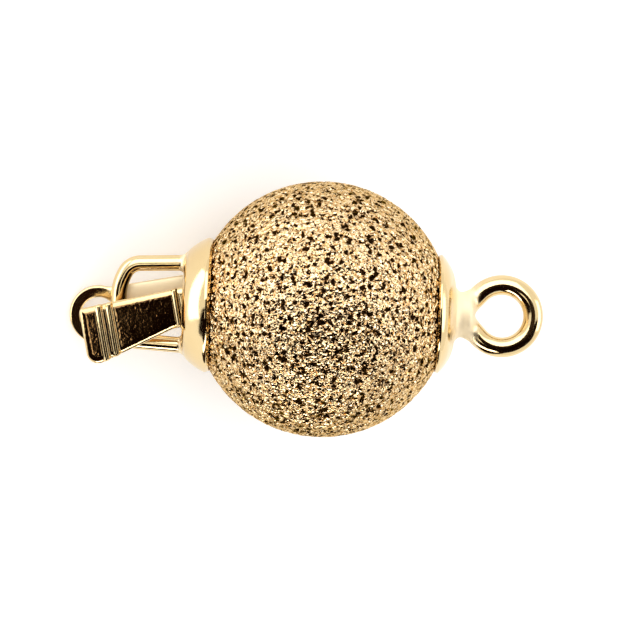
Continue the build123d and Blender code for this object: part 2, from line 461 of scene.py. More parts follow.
def tone_group() -> bpy.types.NodeTree:
    """Gold whose colour drifts at random, with painted light laid on it: a paler solder colour where dull,
    partly a painted sheen; a painted brown reflection on worn faces; and painted shade in its pits, brown at
    their edges and near black in their middles.

    Returns:
        The group.
    """
    group = node_group(
        "gold_tone",
        {
            "Light": "Color", "Deep": "Color", "Solder And Sheen": "Color", "Painted Brown": "Color", "Dark": "Color",
            "Scale": "Float", "Drift": "Float", "Dull": "Float", "Worn": "Float", "Painted Reflection": "Float",
            "Mask": "Float",
        },
        {"Color": "Color"},
    )
    given, made = ends(group)
    place = add(group, "TexCoord").outputs["Object"]
    noise = add(group, "TexNoise", {"Vector": place, "Scale": given.outputs["Scale"], "Detail": 3.0})
    drift = add(group, "MapRange", {
        "Value": noise.outputs["Fac"], "From Min": DRIFT_RANGE[0], "From Max": DRIFT_RANGE[1],
        "To Max": given.outputs["Drift"],
    })
    gold = mixed(group, drift.outputs["Result"], given.outputs["Light"], given.outputs["Deep"])
    # Paler solder colour where dull: partly the solder's own paler tone, partly a painted sheen on the neck
    # and the strip.
    solder_and_sheen_gold = mixed(group, given.outputs["Dull"], gold, given.outputs["Solder And Sheen"])
    # Painted reflection: a brown share laid on the tab's worn face, standing in for the brown room that it
    # mirrors.
    painted_reflection = maths(group, "MULTIPLY", given.outputs["Worn"], given.outputs["Painted Reflection"])
    # Painted brown: the tab's painted reflection, and painted shade round the edges of the pits and speckles.
    painted_brown = maths(group, "MAXIMUM", painted_reflection, given.outputs["Mask"])
    with_painted_brown = mixed(group, painted_brown, solder_and_sheen_gold, given.outputs["Painted Brown"])
    # Painted shade, near black, deepest in the middle of the pits and speckles.
    deepest = maths(group, "POWER", given.outputs["Mask"], PAINTED_PIT_SHADE_POWER)
    darkened = mixed(group, deepest, with_painted_brown, given.outputs["Dark"])
    group.links.new(darkened, made.inputs["Color"])
    return group


def marks_group() -> bpy.types.NodeTree:
    """Polishing marks and wear: how dull the metal is, and how high it stands.

    Returns:
        The group.
    """
    group = node_group(
        "polish_marks",
        {
            "Scale": "Float", "Least": "Float", "Most": "Float", "Depth": "Float", "Dull": "Float",
            "Dull Roughness": "Float", "Worn": "Float", "Worn Scale": "Float", "Worn Depth": "Float",
        },
        {"Roughness": "Float", "Height": "Float"},
    )
    given, made = ends(group)
    place = add(group, "TexCoord").outputs["Object"]
    broad = add(group, "TexNoise", {"Vector": place, "Scale": given.outputs["Scale"], "Detail": 4.0})
    polish = add(group, "MapRange", {
        "Value": broad.outputs["Fac"], "From Min": POLISH_RANGE[0], "From Max": POLISH_RANGE[1],
        "To Min": given.outputs["Least"], "To Max": given.outputs["Most"],
    })
    rough = add(group, "Mix", {
        "Factor": given.outputs["Dull"], "A": polish.outputs["Result"], "B": given.outputs["Dull Roughness"],
    })
    stretched = add(group, "Mapping", {"Vector": place, "Scale": MARK_STRETCH}).outputs["Vector"]
    fine = add(group, "TexNoise", {
        "Vector": stretched, "Scale": given.outputs["Scale"], "Detail": 6.0, "Roughness": 0.6,
    })
    worn = add(group, "TexNoise", {
        "Vector": place, "Scale": given.outputs["Worn Scale"], "Detail": 2.0, "Roughness": 0.5,
    })
    worn_depth = maths(group, "MULTIPLY", given.outputs["Worn"], given.outputs["Worn Depth"])
    high = maths(group, "MULTIPLY", worn.outputs["Fac"], worn_depth)
    height = maths(group, "MULTIPLY_ADD", fine.outputs["Fac"], given.outputs["Depth"], high)
    group.links.new(rough.outputs["Result"], made.inputs["Roughness"])
    group.links.new(height, made.inputs["Height"])
    return group


def pits_group() -> bpy.types.NodeTree:
    """Painted shade in ragged pits from a field baked on the skin, painted dark speckles, and the grain
    between them.

    Returns:
        The group.
    """
    group = node_group(
        "ragged_pits",
        {
            "Field": "Float", "Scale": "Float", "Ragged": "Float", "Edge": "Float", "Painted Specks": "Float",
            "Grain": "Float", "Depth": "Float",
        },
        {"Mask": "Float", "Height": "Float"},
    )
    given, made = ends(group)
    place = add(group, "TexCoord").outputs["Object"]
    noise = add(group, "TexNoise", {"Vector": place, "Scale": given.outputs["Scale"], "Detail": 2.0})
    centred = maths(group, "SUBTRACT", noise.outputs["Fac"], MIDDLE_NOISE)
    ragged = maths(group, "MULTIPLY_ADD", centred, given.outputs["Ragged"], given.outputs["Field"])
    mask = add(group, "MapRange", {
        "Value": ragged, "From Min": 0.0, "From Max": given.outputs["Edge"],
    }, interpolation_type="SMOOTHSTEP")
    # Painted dark speckles: painted reflection and painted shade, with no relief under them.
    painted_specks = add(group, "TexNoise", {
        "Vector": place, "Scale": given.outputs["Grain"], "Detail": 3.0, "Roughness": 0.65,
    })
    past = maths(group, "ADD", given.outputs["Painted Specks"], PAINTED_SPECK_SOFTNESS)
    small = add(group, "MapRange", {
        "Value": painted_specks.outputs["Fac"], "From Min": given.outputs["Painted Specks"], "From Max": past,
    }, interpolation_type="SMOOTHSTEP")
    both = maths(group, "MAXIMUM", mask.outputs["Result"], small.outputs["Result"])
    cells = add(group, "TexVoronoi", {"Vector": place, "Scale": given.outputs["Grain"]})
    height = maths(group, "MULTIPLY", cells.outputs["Distance"], given.outputs["Depth"])
    group.links.new(both, made.inputs["Mask"])
    group.links.new(height, made.inputs["Height"])
    return group


@dataclass(frozen=True)
class Pits:
    """How the ball's pits look up close, with the painted shade in them and the painted dark speckles."""

    field: str
    scale: float = 14000.0
    ragged: float = 1.0
    edge: float = 0.35
    # Where the painted dark speckles begin.
    painted_specks: float = 0.524
    grain: float = 11000.0
    depth: float = 0.000040


@dataclass(frozen=True)
class GoldFinish:
    """Yellow gold: its tones, how it is polished, how its marks stand, and the painted sheen, painted brown
    reflection and painted pit shade on it.
    """

    name: str
    light: tuple[float, float, float] = (0.77, 0.59, 0.315)
    deep: tuple[float, float, float] = (0.67, 0.45, 0.19)
    # Paler solder colour: partly the solder's own tone, partly a painted sheen where dull.
    solder: tuple[float, float, float] = (0.96, 0.84, 0.62)
    # Painted brown: painted reflection on worn faces, and painted shade round the pits.
    painted_brown: tuple[float, float, float] = (0.40, 0.15, 0.025)
    # Painted shade in the pits.
    dark: tuple[float, float, float] = (0.010, 0.004, 0.001)
    drift_scale: float = 900.0
    drift: float = 0.25
    mark_scale: float = 1500.0
    least_roughness: float = 0.07
    most_roughness: float = 0.14
    mark_depth: float = 0.000002
    dull_roughness: float = 0.72
    worn_scale: float = 9000.0
    worn_depth: float = 0.0000085
    # How much of the painted brown reflection the worn face takes.
    painted_reflection: float = 0.65
    glancing: tuple[float, float, float] = (1.0, 1.0, 1.0)
    pits: Pits | None = None

    def material(self, groups: dict[str, bpy.types.NodeTree]) -> bpy.types.Material:
        """The finish as a material.

        Args:
            groups: The shared node groups by name.

        Returns:
            The material.
        """
        material = bpy.data.materials.new(self.name)
        material.use_nodes = True
        tree = material.node_tree
        metal = next(n for n in tree.nodes if n.bl_idname == "ShaderNodeBsdfPrincipled")
        fill(metal, {"Metallic": 1.0, "Specular Tint": (*self.glancing, 1)})
        tone = add(tree, "Group", node_tree=groups["tone"])
        marks = add(tree, "Group", node_tree=groups["marks"])
        fill(tone, {
            "Light": (*self.light, 1), "Deep": (*self.deep, 1), "Solder And Sheen": (*self.solder, 1),
            "Painted Brown": (*self.painted_brown, 1), "Dark": (*self.dark, 1), "Scale": self.drift_scale,
            "Drift": self.drift, "Painted Reflection": self.painted_reflection,
        })
        fill(marks, {
            "Scale": self.mark_scale, "Least": self.least_roughness, "Most": self.most_roughness,
            "Depth": self.mark_depth, "Dull Roughness": self.dull_roughness,
            "Worn Scale": self.worn_scale, "Worn Depth": self.worn_depth,
        })
        for mask in Mask:
            baked = add(tree, "Attribute", attribute_name=mask.value)
            for group in (tone, marks):
                tree.links.new(baked.outputs["Fac"], group.inputs[mask.name.title()])
        height = marks.outputs["Height"]
        if self.pits:
            pits = add(tree, "Group", node_tree=groups["pits"])
            baked = add(tree, "Attribute", attribute_name=self.pits.field)
            tree.links.new(baked.outputs["Fac"], pits.inputs["Field"])
            fill(pits, {
                "Scale": self.pits.scale, "Ragged": self.pits.ragged, "Edge": self.pits.edge,
                "Painted Specks": self.pits.painted_specks, "Grain": self.pits.grain, "Depth": self.pits.depth,
            })
            tree.links.new(pits.outputs["Mask"], tone.inputs["Mask"])
            height = maths(tree, "ADD", height, pits.outputs["Height"])
        bump = add(tree, "Bump", {"Height": height, "Distance": 1.0})
        tree.links.new(tone.outputs["Color"], metal.inputs["Base Color"])
        tree.links.new(marks.outputs["Roughness"], metal.inputs["Roughness"])
        tree.links.new(bump.outputs["Normal"], metal.inputs["Normal"])
        return material


def bake(mesh: bpy.types.Mesh, mask: Mask, values: np.ndarray) -> None:
    """Keeps a mask on a mesh, one value to each corner."""
    layer = mesh.attributes.new(mask.value, "FLOAT", "POINT")
    layer.data.foreach_set("value", np.clip(values, 0, 1).astype(np.float32))


def corners_of(mesh: bpy.types.Mesh) -> np.ndarray:
    """A mesh's corners, one to a row.

    Args:
        mesh: The mesh.

    Returns:
        The corners' places.
    """
    flat = np.empty(len(mesh.vertices) * 3, np.float32)
    mesh.vertices.foreach_get("co", flat)
    return flat.reshape(-1, 3).astype(float)


def place_piece(
    name: str, mesh: bpy.types.Mesh, at: Matrix, body: Body, node: str,
    material: bpy.types.Material,
) -> bpy.types.Object:
    """Puts a finished mesh into the scene as one piece of the clasp.

    Args:
        name: The piece's name.
        mesh: Its mesh, in its own millimetres.
        at: From those millimetres to the row frame.
        body: The body that it rides on.
        node: The CAD node that it stands for.
        material: Its material.

    Returns:
        The piece.
    """
    mesh.transform(at)
    mesh.materials.append(material)
    piece = bpy.data.objects.new(name, mesh)
    bpy.context.scene.collection.objects.link(piece)
    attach(piece, body.value)
    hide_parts(node)
    log.info("%s: %d faces", name, len(mesh.polygons))
    return piece


@dataclass(frozen=True)
class BallSkin:
    """The hollow ball, struck all over with tiny dents."""

    radius: float = 4.0
    wall: float = 0.30
    mouth_hole: float = 1.36
    tail_hole: float = 0.80
    frequency: int = 96
    inner_frequency: int = 16
    dents: int = 5200
    dent_depth: float = 0.050
    dent_lean: float = 0.30
    dent_jitter: float = 0.33
    dent_spread: float = 0.55
    least_dent: float = 0.35
    near_dents: int = 4
    pits: int = 5200
    pit_size: tuple[float, float] = (0.035, 0.115)
    pit_depth: float = 0.06
    pit_floor: float = 0.6
    pit_jitter: float = 0.6
    least_pit_width: float = 0.4
    near_pits: int = 5
    pit_field: str = "pit"

    def even_ball(self, frequency: int) -> tuple[np.ndarray, np.ndarray]:
        """A ball of unit radius in small triangles of about one size.

        Args:
            frequency: How many triangles lie along each edge of the twenty-sided start.

        Returns:
            Its corners, and its triangles as rows of corner numbers.
        """
        start = bmesh.new()
        bmesh.ops.create_icosphere(start, subdivisions=1, radius=1)
        points, triangles, offset = [], [], 0
        steps = [(i, j) for i in range(frequency + 1) for j in range(frequency + 1 - i)]
        number = {step: n for n, step in enumerate(steps)}
        shares = np.array([(frequency - i - j, i, j) for i, j in steps]) / frequency
        cells = [(number[i, j], number[i + 1, j], number[i, j + 1]) for i, j in steps if i + j < frequency]
        cells += [
            (number[i + 1, j], number[i + 1, j + 1], number[i, j + 1])
            for i, j in steps if i + j < frequency - 1
        ]
        for face in start.faces:
            corners = np.array([v.co for v in face.verts])
            points.append(shares @ corners)
            triangles.append(np.array(cells) + offset)
            offset += len(steps)
        start.free()
        every = np.concatenate(points)
        every /= np.linalg.norm(every, axis=1, keepdims=True)
        rounded = np.round(every, WELD_DIGITS)
        _, first, same = np.unique(rounded, axis=0, return_index=True, return_inverse=True)
        return every[first], same.reshape(-1)[np.concatenate(triangles)]

    def opened(
        self, points: np.ndarray, triangles: np.ndarray, radius: float,
    ) -> tuple[np.ndarray, np.ndarray]:
        """Cuts the two round holes, and brings the cut's edge onto their circles.

        Args:
            points: The corners, on a ball of unit radius.
            triangles: The triangles.
            radius: The real ball's radius.

        Returns:
            The corners, and the triangles that are left.
        """
        points = points.copy()
        for side, hole in ((-1, self.mouth_hole), (1, self.tail_hole)):
            beside = np.hypot(points[:, 1], points[:, 2]) * radius
            within = (points[:, 0] * side > 0) & (beside < hole)
            triangles = triangles[~within[triangles].all(axis=1)]
            edge = hole / radius
            points[within, 1:] *= (hole / np.maximum(beside[within], 1e-6))[:, None]
            points[within, 0] = side * sqrt(1 - edge ** 2)
        return points, triangles

    def scattered(self, count: int, jitter: float, numbers: np.random.Generator) -> np.ndarray:
        """Directions spread over the whole ball, each a little off its even place.

        Args:
            count: How many directions.
            jitter: How far off, as a share of the distance between neighbours.
            numbers: The random numbers to draw from.

        Returns:
            The directions, one to a row.
        """
        turn = np.arange(count) * pi * (3 - sqrt(5))
        level = 1 - (2 * np.arange(count) + 1) / count
        ring = np.sqrt(1 - level ** 2)
        middles = np.stack([ring * np.cos(turn), ring * np.sin(turn), level], axis=1)
        middles += numbers.normal(size=middles.shape) * sqrt(4 * pi / count) * jitter
        return middles / np.linalg.norm(middles, axis=1, keepdims=True)

    def nearest(self, points: np.ndarray, middles: np.ndarray, count: int) -> np.ndarray:
        """The numbers of the middles nearest to each point, one column to each.

        Args:
            points: The points.
            middles: The middles to choose from.
            count: How many to each point.

        Returns:
            The numbers, one row to a point.
        """
        tree = KDTree(len(middles))
        for n, middle in enumerate(middles):
            tree.insert(middle, n)
        tree.balance()
        return np.array([[found[1] for found in tree.find_n(point, count)] for point in points])

    def dent_heights(self, points: np.ndarray, numbers: np.random.Generator) -> np.ndarray:
        """How low the skin lies in shallow dents, each askew in its own way.

        Args:
            points: Directions from the ball's centre.
            numbers: The random numbers to draw from.

        Returns:
            Heights in millimetres, none above the ball's skin.
        """
        middles = self.scattered(self.dents, self.dent_jitter, numbers)
        deep = self.dent_depth * numbers.uniform(self.least_dent, 1.0, self.dents)
        lean = numbers.normal(size=middles.shape) * self.dent_lean
        dent_radius = self.dent_spread * sqrt(4 * pi / self.dents) * self.radius
        rise = self.dent_depth / dent_radius ** 2
        lowest = np.zeros(len(points))
        for column in self.nearest(points, middles, self.near_dents).T:
            away = (points - middles[column]) * self.radius
            height = rise * (away ** 2).sum(axis=1) + (lean[column] * away).sum(axis=1) - deep[column]
            lowest = np.minimum(lowest, height)
        return lowest

    def pit_values(self, points: np.ndarray, numbers: np.random.Generator) -> np.ndarray:
        """How far each point lies inside a sharp pit: one at its middle, nothing at its edge.

        Args:
            points: Directions from the ball's centre.
            numbers: The random numbers to draw from.

        Returns:
            The values, less than nothing outside every pit.
        """
        middles = self.scattered(self.pits, self.pit_jitter, numbers)
        along = np.cross(middles, numbers.normal(size=middles.shape))
        along /= np.linalg.norm(along, axis=1, keepdims=True)
        across = np.cross(middles, along)
        long = numbers.uniform(*self.pit_size, self.pits)
        short = long * numbers.uniform(self.least_pit_width, 1.0, self.pits)
        values = np.full(len(points), -1.0)
        for column in self.nearest(points, middles, self.near_pits).T:
            away = (points - middles[column]) * self.radius
            ring = np.hypot(
                (away * along[column]).sum(axis=1) / long[column],
                (away * across[column]).sum(axis=1) / short[column],
            )
            values = np.maximum(values, 1 - ring)
        return values

    def mesh(self) -> bpy.types.Mesh:
        """The ball's mesh: its dented skin, its plain inside, and the edges of its two holes.

        Returns:
            The mesh, in millimetres about the ball's centre.
        """
        numbers = np.random.default_rng(SEED)
        points, triangles = self.opened(*self.even_ball(self.frequency), self.radius)
        pits = self.pit_values(points, numbers)
        heights = self.dent_heights(points, numbers) - self.pit_depth * np.clip(pits, 0, self.pit_floor)
        inner_radius = self.radius - self.wall
        inner, inner_triangles = self.opened(*self.even_ball(self.inner_frequency), inner_radius)
        skin = bmesh.new()
        field_layer = skin.verts.layers.float.new(self.pit_field)
        outer_corners = []
        for point, pit in zip(points * (self.radius + heights)[:, None], pits):
            corner = skin.verts.new(point)
            corner[field_layer] = pit
            outer_corners.append(corner)
        inner_corners = [skin.verts.new(point) for point in inner * inner_radius]
        for corner in inner_corners:
            corner[field_layer] = -1
        for a, b, c in triangles:
            skin.faces.new((outer_corners[a], outer_corners[b], outer_corners[c]))
        for a, b, c in inner_triangles:
            skin.faces.new((inner_corners[a], inner_corners[c], inner_corners[b]))
        loose = [corner for corner in skin.verts if not corner.link_faces]
        bmesh.ops.delete(skin, geom=loose, context="VERTS")
        for side in (-1, 1):
            rim = [
                edge for edge in skin.edges
                if edge.is_boundary and (edge.verts[0].co.x + edge.verts[1].co.x) * side > 0
            ]
            bmesh.ops.bridge_loops(skin, edges=rim)
        bmesh.ops.recalc_face_normals(skin, faces=skin.faces)
        mesh = bpy.data.meshes.new("ball_skin")
        skin.to_mesh(mesh)
        skin.free()
        mesh.shade_smooth()
        return mesh

    def build(self, clasp: ClaspFrame, material: bpy.types.Material) -> bpy.types.Object:
        """Makes the ball and puts it in place."""
        return place_piece(
            "ball_skin", self.mesh(), clasp.clasp(), Body.BALL, "ball_shell", material,
        )


@dataclass(frozen=True)
class MouthCollar:
    """The cone at the ball's mouth, with its slot and the guard wire soldered to its face."""

    ball_radius: float = 4.0
    seam: float = 0.01
    stand: float = 0.35
    face_radius: float = 1.56
    rim_radius: float = 2.13
    rim_lip: float = 0.17
    wall: float = 0.30
    bulge: float = 0.06
    edge_round: float = 0.16
    rim_round: float = 0.05
    wire_diameter: float = 0.50
    wire_reach: float = 2.26
    corner_back: float = 0.31
    leg_taper: float = 0.09
    nose_width: float = 1.10
    corner_round: float = 0.55
    nose_round: float = 1.50
    solder: float = 0.16
    slot_half: float = 0.957
    slot_low: float = 0.67
    slot_high: float = 0.898
    notch_half: float = 0.717
    notch_high: float = 0.978
    slot_round: float = 0.04
    pitch: float = 0.03

    @property
    def face_x(self) -> float:
        """Where the front face lies along the clasp."""
        return -(self.ball_radius + self.stand)

    @property
    def rim_x(self) -> float:
        """Where the rim against the ball lies along the clasp."""
        return -sqrt((self.ball_radius + self.rim_lip) ** 2 - self.rim_radius ** 2)

    def cone(self, x: np.ndarray, across: np.ndarray) -> np.ndarray:
        """Distances to the cone's outer form, from places along and across the clasp.

        Args:
            x: Places along the clasp.
            across: Distances from the clasp's own line.

        Returns:
            Distances, one to a point.
        """
        face_edge, rim = Vector((self.face_x, self.face_radius)), Vector((self.rim_x, self.rim_radius))
        chord = rim - face_edge
        round_radius = chord.length ** 2 / (8 * self.bulge) + self.bulge / 2
        inward = Vector((chord.y, -chord.x)).normalized()
        centre = (face_edge + rim) / 2 - inward * (self.bulge - round_radius)
        flank = np.hypot(x - centre.x, across - centre.y) - round_radius
        return rounded_edge(flank, self.face_x - x, self.edge_round)

    def slot_distance(self, y: np.ndarray, z: np.ndarray) -> np.ndarray:
        """Distances to the slot's stepped opening.

        Args:
            y: Places beside it.
            z: Places above it.

        Returns:
            Distances, negative in the opening.
        """
        wide = np.maximum(np.abs(y) - self.slot_half, np.maximum(-self.slot_low - z, z - self.slot_high))
        notch = np.maximum(np.abs(y) - self.notch_half, np.maximum(-z, z - self.notch_high))
        return np.minimum(wide, notch)

    def wire(self, x: np.ndarray, y: np.ndarray, z: np.ndarray) -> np.ndarray:
        """Distances to the guard wire.

        Args:
            x: Places along the clasp.
            y: Places beside it.
            z: Places above it.

        Returns:
            Distances, one to a point.
        """
        wire_radius = self.wire_diameter / 2
        leg_side = self.face_radius - wire_radius
        nose_x = self.face_x - self.wire_reach + wire_radius
        corners = [
            (self.face_x + self.wall / 2, leg_side),
            (nose_x + self.corner_back, leg_side - self.leg_taper),
            (nose_x, self.nose_width / 2),
            (nose_x, -self.nose_width / 2),
        ]
        path = rounded_path(corners, [self.corner_round, self.nose_round])
        half_path = path[:-1] + [Run(path[-1].start, (nose_x, 0.0))]
        return np.hypot(path_distance(half_path, x, np.abs(y)), z) - wire_radius

    def distance(self, points: np.ndarray) -> np.ndarray:
        """Distances from points to the collar's skin.

        Args:
            points: The points, one to a row.

        Returns:
            Distances, negative inside the collar.
        """
        x, y, z = points.T
        across = np.hypot(y, z)
        body = self.cone(x, across)
        walls = rounded_edge(body, -(body + self.wall), self.rim_round)
        reach = self.ball_radius + self.rim_lip
        walls = rounded_edge(walls, (x * self.rim_radius - across * self.rim_x) / reach, self.rim_round)
        opened = rounded_edge(walls, -self.slot_distance(y, z), self.slot_round)
        joined = soldered(opened, self.wire(x, y, z), self.solder)
        ball = self.ball_radius + self.seam - np.sqrt((points ** 2).sum(axis=1))
        return rounded_edge(joined, ball, self.rim_round / 2)

    def build(self, clasp: ClaspFrame, material: bpy.types.Material) -> bpy.types.Object:
        """Makes the collar and puts it in place.

        Args:
            clasp: The clasp's own frame.
            material: The polished gold.

        Returns:
            The piece.
        """
        low = Vector((self.face_x - self.wire_reach, -self.rim_radius, -self.rim_radius))
        ball_edge = -sqrt(self.ball_radius ** 2 - self.rim_radius ** 2)
        high = Vector((ball_edge + self.wall, self.rim_radius, self.rim_radius))
        mesh = skin_mesh("mouth_collar_body", self.distance, low, high, self.pitch)
        x, y, z = corners_of(mesh).T
        # Dull at the solder joints: rougher, and painted paler, partly a painted sheen.
        bake(mesh, Mask.DULL, 1 - np.hypot(self.wire(x, y, z), self.face_x - x) / self.solder)
        return place_piece(
            "mouth_collar_body", mesh, clasp.clasp(), Body.BALL, "mouth_collar", material,
        )


@dataclass(frozen=True)
class EndLoop:
    """The cap on the ball's far side, its neck, and the wire loop soldered to the neck."""

    ball_radius: float = 4.0
    seam: float = 0.01
    rim_radius: float = 1.88
    rim_lip: float = 0.13
    rim_round: float = 0.05
    shoulder_radius: float = 1.45
    shoulder_stand: float = 0.10
    shoulder_round: float = 0.30
    stand: float = 0.17
    neck_radius: float = 0.69
    neck_length: float = 0.53
    neck_round: float = 0.15
    neck_fillet: float = 0.26
    wire_diameter: float = 0.63
    loop_diameter: float = 2.58
    loop_stand: float = 1.63
    spread: float = radians(47.0)
    roll: float = radians(-8.0)
    solder: float = 0.20
    solder_spread: float = 1.6
    crotch: float = 0.12
    pitch: float = 0.032

    @property
    def loop_x(self) -> float:
        """Where the loop's centre lies along the clasp."""
        return self.ball_radius + self.loop_stand

    def cap(self, x: np.ndarray, across: np.ndarray) -> np.ndarray:
        """Distances to the cap and its neck, from places along and across the clasp.

        Args:
            x: Places along the clasp.
            across: Distances from the clasp's own line.

        Returns:
            Distances, one to a point.
        """
        reach = self.ball_radius + self.rim_lip
        rim = Vector((sqrt(reach ** 2 - self.rim_radius ** 2), self.rim_radius))
        shoulder = Vector((self.ball_radius + self.shoulder_stand, self.shoulder_radius))
        foot = Vector((self.ball_radius + self.stand, self.neck_radius))
        flank, top = shoulder - rim, foot - shoulder
        flank_out, top_out = Vector((-flank.y, flank.x)).normalized(), Vector((-top.y, top.x)).normalized()
        slanted = (x - rim.x) * flank_out.x + (across - rim.y) * flank_out.y
        flat = (x - foot.x) * top_out.x + (across - foot.y) * top_out.y
        disc = rounded_edge(slanted, flat, self.shoulder_round)
        disc = rounded_edge(disc, (across * rim.x - x * rim.y) / reach, self.rim_round)
        neck_end = foot.x + self.neck_length
        neck = rounded_edge(across - self.neck_radius, x - neck_end, self.neck_round)
        return soldered(disc, neck, self.neck_fillet)

    def wire(self, x: np.ndarray, y: np.ndarray, z: np.ndarray) -> np.ndarray:
        """Distances to the wire loop, turned about the clasp's own line.

        Args:
            x: Places along the clasp.
            y: Places beside it.
            z: Places above it.

        Returns:
            Distances, one to a point.
        """
        beside = y * cos(self.roll) + z * sin(self.roll)
        above = z * cos(self.roll) - y * sin(self.roll)
        wire_radius = self.wire_diameter / 2
        path_radius = self.loop_diameter / 2 - wire_radius
        touch = (self.loop_x - path_radius * sin(self.spread), path_radius * cos(self.spread))
        apex = (self.loop_x - path_radius / sin(self.spread), 0.0)
        bend = Bend((self.loop_x, 0.0), path_radius, (1.0, 0.0), pi - (pi / 2 - self.spread))
        round_part = np.hypot(bend.distance(x, beside), above) - wire_radius
        legs = [
            np.hypot(Run(apex, (touch[0], side)).distance(x, beside), above) - wire_radius
            for side in (touch[1], -touch[1])
        ]
        return np.minimum(round_part, soldered(legs[0], legs[1], self.crotch))

    def distance(self, points: np.ndarray) -> np.ndarray:
        """Distances from points to the piece's skin.

        Args:
            points: The points, one to a row.

        Returns:
            Distances, negative inside the piece.
        """
        x, y, z = points.T
        body = soldered(self.cap(x, np.hypot(y, z)), self.wire(x, y, z), self.solder)
        ball = self.ball_radius + self.seam - np.sqrt((points ** 2).sum(axis=1))
        return rounded_edge(body, ball, self.rim_round / 2)

    def build(self, clasp: ClaspFrame, material: bpy.types.Material) -> bpy.types.Object:
        """Makes the cap and loop and puts them in place.

        Args:
            clasp: The clasp's own frame.
            material: The polished gold.

        Returns:
            The piece.
        """
        ball_edge = sqrt(self.ball_radius ** 2 - self.rim_radius ** 2)
        low = Vector((ball_edge - self.seam, -self.rim_radius, -self.rim_radius))
        high = Vector((self.loop_x + self.loop_diameter / 2, self.rim_radius, self.rim_radius))
        mesh = skin_mesh("end_loop_body", self.distance, low, high, self.pitch)
        x = corners_of(mesh)[:, 0]
        neck = self.ball_radius + self.stand + self.neck_length / 2
        # Dull round the neck: rougher, and painted paler, partly a painted sheen.
        bake(mesh, Mask.DULL, (1 - np.abs(x - neck) / self.neck_length) * self.solder_spread)
        return place_piece(
            "end_loop_body", mesh, clasp.clasp(), Body.BALL, "end_loop", material,
        )


@dataclass(frozen=True)
class Tongue:
    """Sizes that the strip and the thumb leaf share."""

    face_x: float = -4.35
    thickness: float = 0.28
    width: float = 1.62
    reach: float = 5.60
    nose_width: float = 1.30
    taper_length: float = 0.90
    half_gap: float = 0.29
    leaf_gap: float = 0.03
    side_shift: float = 0.04

    @property
    def fold_out(self) -> float:
        """How far out of the face the fold's middle lies, less than nothing inside the ball."""
        return -(self.reach - self.half_gap - self.thickness)

    @property
    def middle(self) -> float:
        """How far the strip's middle plane lies from the slot's middle."""
        return self.half_gap + self.thickness / 2


@dataclass(frozen=True)
class TongueStrip(Tongue):
    """The lower strip of the tongue, from its fold out to the round eyelet."""

    eyelet_out: float = 2.70
    eyelet_flare: float = 0.12
    eyelet_neck: float = 0.60
    hole_radius: float = 0.55
    bend_before: float = 0.55
    drop: float = radians(6.0)
    bend_round: float = 2.0
    edge_round: float = 0.07
    crown_width: float = 0.60
    dullness: float = 0.55
    pitch: float = 0.032

    def distance(self, points: np.ndarray) -> np.ndarray:
        """Distances from points to the strip's skin.

        Args:
            points: The points, one to a row.

        Returns:
            Distances, negative inside the strip.
        """
        out, side, height = self.face_x - points[:, 0], points[:, 1], points[:, 2]
        eyelet_radius = self.width / 2 + self.eyelet_flare
        bend_out = self.eyelet_out - eyelet_radius + self.bend_before
        tip = self.eyelet_out + eyelet_radius + self.thickness - bend_out
        corners = [
            (self.fold_out, -self.middle), (bend_out, -self.middle),
            (bend_out + tip * cos(self.drop), -self.middle - tip * sin(self.drop)),
        ]
        path = rounded_path(corners, [self.bend_round])
        path.append(Bend((self.fold_out, 0.0), self.middle, (-1.0, 0.0), pi / 2))
        sheet = path_distance(path, out, height) - self.thickness / 2
        half = self.width / 2
        grown = np.clip((out - self.fold_out) / self.taper_length, 0, 1)
        half_here = self.nose_width / 2 + (half - self.nose_width / 2) * grown
        centre_out = bend_out + (self.eyelet_out - bend_out) * cos(self.drop)
        strip = np.maximum(np.abs(side) - half_here, out - centre_out)
        ring = np.hypot(out - centre_out, side)
        fillet_side = half + self.eyelet_neck
        fillet_out = centre_out - sqrt((eyelet_radius + self.eyelet_neck) ** 2 - fillet_side ** 2)
        slant = atan2(centre_out - fillet_out, fillet_side)
        towards = (sin(slant / 2), -cos(slant / 2))
        fillet = Bend((fillet_out, fillet_side), self.eyelet_neck, towards, slant / 2)
        within = np.isfinite(fillet.distance(out, np.abs(side)))
        hollow = self.eyelet_neck - np.hypot(out - fillet_out, np.abs(side) - fillet_side)
        plan = np.where(within, hollow, np.minimum(strip, ring - eyelet_radius))
        plan = np.maximum(plan, self.hole_radius - ring)
        crowned = np.clip((bend_out - out) / self.bend_before, 0, 1)
        edge_width = self.edge_round + (self.crown_width - self.edge_round) * crowned
        body = rounded_edge(sheet, plan * (self.edge_round / edge_width), self.edge_round)
        leaf_side = np.where(height > 0, out - self.fold_out, -1.0)
        return rounded_edge(body, leaf_side, self.leaf_gap)

    def build(self, clasp: ClaspFrame, material: bpy.types.Material) -> bpy.types.Object:
        """Makes the strip and puts it in place.

        Args:
            clasp: The clasp's own frame.
            material: The polished gold.

        Returns:
            The piece.
        """
        half = self.width / 2 + self.eyelet_flare
        drop_room = half / 4
        low = Vector((self.face_x - self.eyelet_out - half, -half, -self.middle - self.thickness - drop_room))
        high = Vector((self.face_x + self.reach, half, self.middle + self.thickness))
        mesh = skin_mesh("tongue_strip_body", self.distance, low, high, self.pitch)
        out = self.face_x - corners_of(mesh)[:, 0]
        straight = np.clip((self.eyelet_out - half - out) / self.bend_before + 1, 0, 1)
        # The strip's scuffed part: rougher, and painted in the paler solder colour as a painted sheen.
        bake(mesh, Mask.DULL, straight * self.dullness)
        return place_piece(
            "tongue_strip_body", mesh, clasp.tongue(), Body.TONGUE, "tongue_strip", material,
        )


